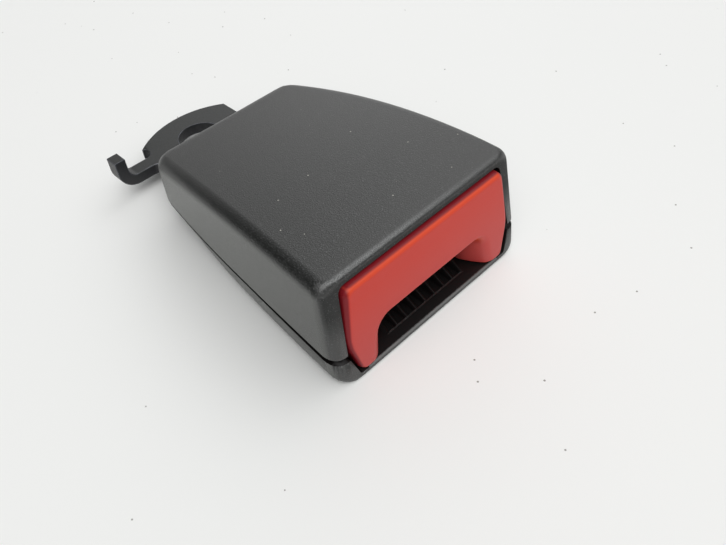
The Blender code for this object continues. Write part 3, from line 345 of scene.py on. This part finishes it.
# %% Group: dust flecks
def build_dust_group():
    graph, given, result = new_group(
        "dust_flecks",
        [("Cells per metre", FLOAT, 150.0), ("Fleck size", FLOAT, 0.02), ("Share", FLOAT, 0.3)],
        [("Mask", FLOAT)],
    )
    cells = graph.add("ShaderNodeTexVoronoi", feature="F1")
    graph.join(graph.place(), cells.inputs["Vector"])
    graph.join(given["Cells per metre"], cells.inputs["Scale"])
    near = graph.math("LESS_THAN", cells.outputs["Distance"], given["Fleck size"])
    pick = graph.add("ShaderNodeSeparateColor")
    graph.join(cells.outputs["Color"], pick.inputs[0])
    chosen = graph.math("LESS_THAN", pick.outputs[0], given["Share"])
    graph.join(graph.times(near, chosen), result["Mask"])
    return graph.tree


dust_group = build_dust_group()
print("group:", dust_group.name)

# %% [markdown]
# Some colour follows which way a face looks, and it is painted light and shade: the flanks of the
# housing get a pale painted sheen, and the red of the button deepens into painted shade where its
# skin turns in under the covers. This group gives a mask for the faces that look along an axis.

# %% Group: faces that look along an axis
def build_facing_group():
    graph, given, result = new_group(
        "facing_axis",
        [("Axis", VECTOR, (0.0, 0.0, 1.0)), ("From", FLOAT, 0.5), ("To", FLOAT, 0.9)],
        [("Mask", FLOAT)],
    )
    own = graph.add("ShaderNodeTexCoord").outputs["Normal"]
    size = graph.math("ABSOLUTE", graph.dot(own, given["Axis"]))
    graph.join(graph.spread(size, (given["From"], given["To"])), result["Mask"])
    return graph.tree


facing_group = build_facing_group()
print("group:", facing_group.name)

# %% [markdown]
# The table top is not quite clean either: a few grains of dirt lie on it. The same flecks, far
# apart and dark, are mixed into its white.

# %% Dirt on the table
SPECK_DARK = (0.30, 0.29, 0.27, 1.0)
TABLE_GRAINS = {"Cells per metre": 190.0, "Fleck size": 0.045, "Share": 0.5}

table_graph = Graph(table_finish.node_tree)
grains = table_graph.add("ShaderNodeGroup", node_tree=dust_group)
for socket, value in TABLE_GRAINS.items():
    grains.inputs[socket].default_value = value
dirty_white = table_graph.mix(grains.outputs["Mask"], TABLE_WHITE, SPECK_DARK)
table_graph.join(dirty_white, table_shader.inputs["Base Color"])
print("dirt on the table:", grains.node_tree.name)

# %% [markdown]
# Edge wear. Corners are rubbed first, so they turn a little lighter. The Bevel node averages the
# surface's direction over a small radius; where that average leans away from the true direction
# there is an edge. A noise breaks the mask up, because wear is never even.

# %% Group: edge wear
BEVEL_SAMPLES = 6
EDGE_BAND = (0.995, 0.86)
PATCH_BAND = (0.4, 0.6)
PATCH_SHARE = (0.25, 1.0)


def build_edge_group():
    graph, given, result = new_group(
        "edge_wear",
        [
            ("Radius", FLOAT, 0.0006),
            ("Amount", FLOAT, 0.5),
            ("Patch per metre", FLOAT, 900.0),
        ],
        [("Mask", FLOAT)],
    )
    bevel = graph.add("ShaderNodeBevel", samples=BEVEL_SAMPLES)
    graph.join(given["Radius"], bevel.inputs["Radius"])
    facing = graph.add("ShaderNodeNewGeometry").outputs["Normal"]
    edge = graph.spread(graph.dot(bevel.outputs["Normal"], facing), EDGE_BAND)
    noise = graph.noise(graph.place(), given["Patch per metre"])
    worn = graph.times(edge, graph.spread(noise, PATCH_BAND, PATCH_SHARE))
    graph.join(graph.math("MULTIPLY", worn, given["Amount"], clamp=True), result["Mask"])
    return graph.tree


edge_group = build_edge_group()
print("group:", edge_group.name)

# %% [markdown]
# Each finish below is a short function. It puts the groups in front of one Principled shader,
# and anything that is the same all over the surface, such as how strongly it mirrors, is typed
# straight into the shader.

# %% Helper for finishes
BUMP_STRENGTH = 1.0


class Finish(Graph):
    """A material whose groups feed one Principled shader."""

    def __init__(self, name):
        self.material = bpy.data.materials.new(name)
        self.material.use_nodes = True
        super().__init__(self.material.node_tree)
        self.shader = self.tree.nodes["Principled BSDF"]

    def use(self, group, **values):
        """Place a group: an underscore in a value's name stands for a space."""
        node = self.add("ShaderNodeGroup", node_tree=group)
        for label, value in values.items():
            node.inputs[label.replace("_", " ")].default_value = value
        return node.outputs

    def fixed(self, **values):
        for label, value in values.items():
            self.shader.inputs[label.replace("_", " ")].default_value = value

    def facing(self, axis, start, full):
        """Black up to the start and white from full on, for the cosine with an axis."""
        return self.use(facing_group, Axis=axis, From=start, To=full)["Mask"]

    def grain(self, base, glint, per_metre, share, rough, depth):
        """Stipple the surface. Its roughness and relief are joined, its colour, with painted
        glints on the high points, comes back.
        """
        skin = self.use(
            grain_group,
            Base=(*base, 1.0),
            Speck=(*glint, 1.0),
            Stipple_per_metre=per_metre,
            Speck_share=share,
            Rough_low=rough[0],
            Rough_high=rough[1],
        )
        relief = self.add("ShaderNodeBump")
        relief.inputs["Distance"].default_value = depth
        relief.inputs["Strength"].default_value = BUMP_STRENGTH
        self.join(skin["Height"], relief.inputs["Height"])
        self.join(relief.outputs["Normal"], self.shader.inputs["Normal"])
        self.join(skin["Roughness"], self.shader.inputs["Roughness"])
        return skin["Color"]

    def dull(self, mask, level):
        """Raise the roughness up to a level where the mask is white."""
        rough = self.shader.inputs["Roughness"]
        before = rough.links[0].from_socket
        self.join(self.math("MAXIMUM", before, self.times(mask, level)), rough)

    def color_from(self, source):
        self.join(source, self.shader.inputs["Base Color"])
        return self.material


print("finish helper ready")

# %% [markdown]
# Plastics. A moulded finish starts with the stipple and the edge wear, and each plastic then adds
# its own tints before the colour goes into the shader. Those tints go by the way a face looks and
# by its place in metres: X runs across the buckle, Y from the mouth to the plate, and Z up.

# %% Start of a moulded plastic
ACROSS = (1.0, 0.0, 0.0)
ALONG = (0.0, -1.0, 0.0)
UPWARD = (0.0, 0.0, 1.0)
GLINT_SHARE = 0.5
RUBBED_RADIUS = 0.0006
RUBBED_PATCHES = 700.0


def moulded(name, base, glint, worn, per_metre, rough, depth, wear=0.35, mirror=0.5):
    """The start of a moulded plastic: its stipple with painted glints, its edges worn by handling,
    and the colour so far.
    """
    finish = Finish(name)
    color = finish.grain(base, glint, per_metre, GLINT_SHARE, rough, depth)
    edge = finish.use(
        edge_group, Radius=RUBBED_RADIUS, Amount=wear, Patch_per_metre=RUBBED_PATCHES
    )
    finish.fixed(Specular_IOR_Level=mirror)
    return finish, finish.mix(edge["Mask"], color, (*worn, 1.0))


print("a moulded plastic wears over", round(RUBBED_RADIUS * 1000, 2), "mm at its edges")

# %% [markdown]
# The covers are near black. Their flanks get a pale painted sheen, least of all by the mouth. The
# rolled front edge of the roof carries a grainy painted highlight, strongest towards the left. The
# upright rim over the mouth is duller the higher it gets, and a few flecks of dust lie about.

# %% Charcoal for the covers
DUST_COLOR = (0.34, 0.33, 0.29, 1.0)
FLANK_PAINTED_SHEEN = (0.093, 0.097, 0.090, 1.0)
FLANK_Y = (-0.046, -0.016)
FLANK_SHARE = (0.6, 1.0)
ROLLED_EDGE = (0.0, -0.52, 0.854)
EDGE_PAINTED_HIGHLIGHT = (0.155, 0.161, 0.160, 1.0)
EDGE_X = (0.028, -0.015)
EDGE_SHARE = (0.10, 1.0)
HIGHLIGHT_GRAIN_PER_METRE = 5000.0
HIGHLIGHT_GRAIN_DETAIL = 2.0
HIGHLIGHT_GRAIN_ROUGHNESS = 0.7
HIGHLIGHT_GRAIN_BAND = (0.38, 0.62)
RIM_Z = (0.0080, 0.0190)
RIM_DULL = 0.95


def charcoal_cover():
    finish, color = moulded(
        "moulded_charcoal",
        base=(0.0066, 0.0074, 0.0066),
        glint=(0.150, 0.155, 0.155),
        worn=(0.035, 0.036, 0.035),
        per_metre=3500.0,
        rough=(0.31, 0.43),
        depth=0.00009,
        mirror=1.0,
    )
    place = finish.place()
    at = finish.split(place)

    # Painted sheen: faces that look across are painted paler, fading out towards the mouth.
    flank_sheen_reach = finish.spread(at["Y"], FLANK_Y, FLANK_SHARE)
    painted_flank = finish.times(finish.facing(ACROSS, start=0.88, full=0.99), flank_sheen_reach)
    color = finish.mix(painted_flank, color, FLANK_PAINTED_SHEEN)

    # Painted highlight: a grainy pale band along the rolled front edge of the roof, strongest
    # towards the left.
    noise = finish.noise(place, HIGHLIGHT_GRAIN_PER_METRE, HIGHLIGHT_GRAIN_DETAIL, HIGHLIGHT_GRAIN_ROUGHNESS)
    highlight_grain = finish.spread(noise, HIGHLIGHT_GRAIN_BAND)
    highlight_leftward = finish.spread(at["X"], EDGE_X, EDGE_SHARE)
    rolled_highlight = finish.facing(ROLLED_EDGE, start=0.935, full=0.992)
    color = finish.mix(finish.times(rolled_highlight, highlight_leftward, highlight_grain), color, EDGE_PAINTED_HIGHLIGHT)

    front = finish.facing(ALONG, start=0.08, full=0.70)
    upright = finish.facing(UPWARD, start=0.50, full=0.25)
    finish.dull(finish.times(front, upright, finish.spread(at["Z"], RIM_Z)), RIM_DULL)

    flecks = finish.use(dust_group, Cells_per_metre=300.0, Fleck_size=0.05, Share=0.55)
    return finish.color_from(finish.mix(flecks["Mask"], color, DUST_COLOR))


charcoal = charcoal_cover()
print("finish:", charcoal.name)

# %% [markdown]
# The button is pinker low down. Its rolled top edge gets a painted orange highlight, and it is
# painted deep red, as shade, where its skin turns in under the covers, on its level top and on its
# outer flanks.

# %% Red for the button
RED_LOW = (0.49, 0.060, 0.054, 1.0)
RED_PAINTED_HIGHLIGHT = (0.64, 0.062, 0.022, 1.0)
RED_PAINTED_SHADE = (0.200, 0.007, 0.012, 1.0)
LOW_Z = (0.020, 0.004)
OUTBOARD_X = (0.0205, 0.0225)


def red_button():
    finish, color = moulded(
        "moulded_red",
        base=(0.55, 0.042, 0.028),
        glint=(0.60, 0.060, 0.044),
        worn=(0.66, 0.070, 0.032),
        per_metre=3400.0,
        rough=(0.40, 0.48),
        depth=0.00001,
        wear=0.3,
        mirror=0.30,
    )
    at = finish.split(finish.place())
    color = finish.mix(finish.spread(at["Z"], LOW_Z), color, RED_LOW)
    # Painted highlight: faces that lean up turn orange on the rolled top edge.
    color = finish.mix(finish.facing(UPWARD, start=0.12, full=0.62), color, RED_PAINTED_HIGHLIGHT)
    # Painted shade: the level top and the outer flanks turn deep red.
    color = finish.mix(finish.facing(UPWARD, start=0.80, full=0.95), color, RED_PAINTED_SHADE)
    outboard = finish.spread(finish.math("ABSOLUTE", at["X"]), OUTBOARD_X)
    painted_flank = finish.times(finish.facing(ACROSS, start=0.25, full=0.60), outboard)
    return finish.color_from(finish.mix(painted_flank, color, RED_PAINTED_SHADE))


red = red_button()
print("finish:", red.name)

# %% [markdown]
# The other plastics have no tints of their own. Two of them are for pieces inside the housing.
# The other two go on the covers: a painted shade, the dull black of the faces in the shade, and a
# painted highlight, the paler, shiny skin of the rounded lip in front of the button.

# %% Plain plastics
def plain_plastic(name, base, glint, worn, mirror=0.5):
    finish, color = moulded(
        name,
        base=base,
        glint=glint,
        worn=worn,
        per_metre=3200.0,
        rough=(0.42, 0.52),
        depth=0.00001,
        mirror=mirror,
    )
    return finish.color_from(color)


black = plain_plastic(
    "moulded_black",
    base=(0.008, 0.0075, 0.0075),
    glint=(0.02, 0.02, 0.02),
    worn=(0.02, 0.02, 0.02),
)
natural = plain_plastic(
    "moulded_natural",
    base=(0.66, 0.65, 0.61),
    glint=(0.72, 0.71, 0.67),
    worn=(0.60, 0.58, 0.54),
)
# Painted shade: a dull, barely mirroring black for cover faces in the shade.
painted_shade = plain_plastic(
    "moulded_painted_shade",
    base=(0.006, 0.0052, 0.0052),
    glint=(0.012, 0.010, 0.010),
    worn=(0.012, 0.010, 0.010),
    mirror=0.22,
)
# Painted highlight: a paler, shinier skin for the rounded lip.
lip_highlight = plain_plastic(
    "moulded_lip_highlight",
    base=(0.075, 0.076, 0.074),
    glint=(0.15, 0.15, 0.15),
    worn=(0.20, 0.20, 0.20),
    mirror=1.0,
)
print("finishes:", black.name, natural.name, painted_shade.name, lip_highlight.name)

# %% [markdown]
# The anchor plate is blanked from steel sheet and coated black. The coating is thin, so it has a
# faint orange peel, and bare metal shows along the edges where the punch sheared it and where the
# hook was bent. Its level faces are painted a little paler than its cut ones, as painted light
# falling from above.

# %% Coated steel
LEVEL_PAINTED_LIGHT = (0.0140, 0.0155, 0.0150, 1.0)
BARE_EDGE = (0.30, 0.32, 0.37, 1.0)


def coated_steel():
    finish = Finish("coated_black")
    color = finish.grain(
        base=(0.0030, 0.0036, 0.0060),
        glint=(0.03, 0.032, 0.040),
        per_metre=2200.0,
        share=0.3,
        rough=(0.40, 0.50),
        depth=0.00002,
    )
    edge = finish.use(edge_group, Radius=0.00035, Amount=0.75, Patch_per_metre=450.0)["Mask"]
    flecks = finish.use(dust_group, Cells_per_metre=180.0, Fleck_size=0.025, Share=0.35)
    # Painted light: faces that look up are painted paler.
    color = finish.mix(finish.facing(UPWARD, start=0.60, full=0.95), color, LEVEL_PAINTED_LIGHT)
    color = finish.mix(edge, color, BARE_EDGE)
    finish.join(edge, finish.shader.inputs["Metallic"])
    finish.fixed(Specular_IOR_Level=0.8)
    return finish.color_from(finish.mix(flecks["Mask"], color, DUST_COLOR))


coated = coated_steel()
print("finish:", coated.name)

# %% [markdown]
# The other steels are bare or thinly plated: bright metal with a fine, uneven shine. The points of
# its grain are painted a quarter brighter than the metal round them, a painted glint.

# %% Bare and plated steels
GLINT_GAIN = 1.25


def bare_steel(name, base, rough):
    finish = Finish(name)
    color = finish.grain(
        base=base,
        glint=[min(1.0, value * GLINT_GAIN) for value in base],
        per_metre=1800.0,
        share=0.6,
        rough=rough,
        depth=0.000006,
    )
    finish.fixed(Metallic=1.0)
    return finish.color_from(color)


plated = bare_steel("plated_steel", base=(0.50, 0.51, 0.50), rough=(0.28, 0.42))
hardened = bare_steel("hard_steel", base=(0.36, 0.36, 0.37), rough=(0.22, 0.34))
spring = bare_steel("drawn_wire", base=(0.42, 0.42, 0.43), rough=(0.2, 0.3))
print("finishes:", plated.name, hardened.name, spring.name)

# %% [markdown]
# The record says which body each piece moves with and which material slot it has. Two short
# functions look that up.

# %% Look a piece up in the record
def body_of(node):
    for body, members in frame["record"]["behaviour"]["bodies"].items():
        if node in members:
            return body
    return None


def slot_of(node):
    for row in frame["record"]["subparts"]:
        if row["node"] == node:
            return row["material_slot"]
    return None


print("the upper cover rides on", body_of("upper_cover"), "in", slot_of("upper_cover"))

# %% [markdown]
# The imported meshes are loose triangles, which would shade as facets. For the pieces that show, a
# copy is merged, its tiny coplanar triangles are dissolved, and it is shaded smooth up to a sharp
# angle. A weighted normal modifier then keeps the broad faces flat and lets only the fillets turn.
# The copy stands in for the imported node and keeps its exact shape.

# %% Smooth copy of one piece
MERGE = 0.000002
FLAT_ANGLE = math.radians(0.4)
SHARP_ANGLE = math.radians(33.0)
MOST_CORNERS = 4
BROAD_FACE_WEIGHT = 80


def smooth_copy(node, material):
    shape = bmesh.new()
    shape.from_mesh(frame["nodes"][node].data)
    bmesh.ops.remove_doubles(shape, verts=shape.verts, dist=MERGE)
    bmesh.ops.dissolve_limit(
        shape,
        angle_limit=FLAT_ANGLE,
        use_dissolve_boundaries=False,
        verts=shape.verts,
        edges=shape.edges,
        delimit=set(),
    )
    many_sided = [face for face in shape.faces if len(face.verts) > MOST_CORNERS]
    bmesh.ops.triangulate(shape, faces=many_sided)
    piece = object_from(shape, node + "_skin")
    piece.data.materials.clear()
    piece.data.materials.append(material)
    piece.data.shade_smooth()
    piece.data.set_sharp_from_angle(angle=SHARP_ANGLE)
    weighted = piece.modifiers.new("weighted_normals", "WEIGHTED_NORMAL")
    weighted.keep_sharp = True
    weighted.weight = BROAD_FACE_WEIGHT
    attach(piece, body_of(node))
    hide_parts(node)
    return piece


print("edges stay sharp above", round(math.degrees(SHARP_ANGLE)), "degrees")

# %% [markdown]
# Every piece now gets the finish of its slot. Ten are shown by smooth copies. The rest are steel
# pieces that the covers hide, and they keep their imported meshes.

# %% Dress every piece
FINISHES = {
    "charcoal_plastic": charcoal,
    "red_plastic": red,
    "black_plastic": black,
    "natural_plastic": natural,
    "coated_steel": coated,
    "zinc_steel": plated,
    "hardened_steel": hardened,
    "spring_steel": spring,
}
SHOWN = (
    "upper_cover",
    "lower_cover",
    "release_button",
    "anchor_plate",
    "tongue_guide",
    "ejector",
    "button_spring_left",
    "button_spring_right",
    "ejector_spring",
    "latch_spring",
)

skins = {}
for node, cad_object in frame["nodes"].items():
    material = FINISHES[slot_of(node)]
    if node in SHOWN:
        skins[node] = smooth_copy(node, material)
        continue
    cad_object.data.materials.clear()
    cad_object.data.materials.append(material)
print("smooth copies:", len(skins), "finished in place:", len(frame["nodes"]) - len(skins))

# %% [markdown]
# The coil springs get shorter as the button, the ejector and the latch are pushed. Each one has a
# fixed end, which is the upper end of its box. Here each coil's smooth copy only gets a mesh of
# its own; it is not squashed.

# %% Give each coil spring a mesh of its own
Y, Z = 1, 2
COILS = (
    # coil, joint, the way it lies, how far its free end travels in metres
    ("button_spring_left", "button_press", Y, 0.0045),
    ("button_spring_right", "button_press", Y, 0.0045),
    ("ejector_spring", "ejector_slide", Y, 0.0120),
    ("latch_spring", "latch_pivot", Z, 0.0014),
)

for node, joint, along, travel in COILS:
    coil = skins[node]
    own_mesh(coil)

# %% [markdown]
# The covers are one moulding each, but the faces inside them never see the room. A ray from each
# face finds out: where it soon meets another face of the housing, that face belongs to the inside,
# the groove or the comb, and it takes a painted shade, the deep, dull black of a moulding in the
# shade. The rounded lip in front of the button is the other exception: it gets a painted
# highlight, paler than the covers.

# %% Find the faces in the shade and the lip
EYE_OFFSET = 0.00002
EYE_REACH = 0.045
LIP_DEPTH = 0.0009
LIP_TOP = 0.0014
LIP_HALF = 0.0209
LIP_LEAN = 0.3


def inner_faces(mesh, solids):
    """Faces that look at another face of the housing close by, and so lie in its shade."""
    found = set()
    for face in mesh.polygons:
        start = face.center + face.normal * EYE_OFFSET
        if any(solid.ray_cast(start, face.normal, EYE_REACH)[0] for solid in solids):
            found.add(face.index)
    return found


def lip_faces(mesh, front):
    """The rounded front edge of the floor, between the feet of the button."""
    found = set()
    for face in mesh.polygons:
        rolled_highlight = face.normal.y < -LIP_LEAN and face.normal.z > LIP_LEAN
        near = face.center.y < front + LIP_DEPTH and face.center.z < LIP_TOP
        if rolled_highlight and near and abs(face.center.x) < LIP_HALF:
            found.add(face.index)
    return found


print("a face is in the shade if another is within", round(EYE_REACH * 1000), "mm in front of it")

# %% [markdown]
# Both covers keep their charcoal as the first material and get the other two after it.

# %% Shade the inside of the covers
AROUND = ("upper_cover", "lower_cover", "release_button")
OUTSIDE, SHADE_SLOT, HIGHLIGHT_SLOT = 0, 1, 2

solids = []
for node in AROUND:
    shape = bmesh.new()
    shape.from_mesh(frame["nodes"][node].data)
    solids.append(BVHTree.FromBMesh(shape))
    shape.free()
for node in ("upper_cover", "lower_cover"):
    mesh = skins[node].data
    # The faces in the shade get the painted shade, the lip faces the painted highlight.
    mesh.materials.append(painted_shade)
    mesh.materials.append(lip_highlight)
    shaded = inner_faces(mesh, solids)
    rolled_highlight = lip_faces(mesh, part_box("lower_cover")[0][1])
    for face in mesh.polygons:
        face.material_index = OUTSIDE
        if face.index in rolled_highlight:
            face.material_index = HIGHLIGHT_SLOT
        if face.index in shaded:
            face.material_index = SHADE_SLOT
    print(node, "of", len(mesh.polygons), "faces in the shade:", len(shaded), "lip:", len(rolled_highlight))

# %% [markdown]
# The last cell hands the scene over.

# %% Finish
print("scene ready")
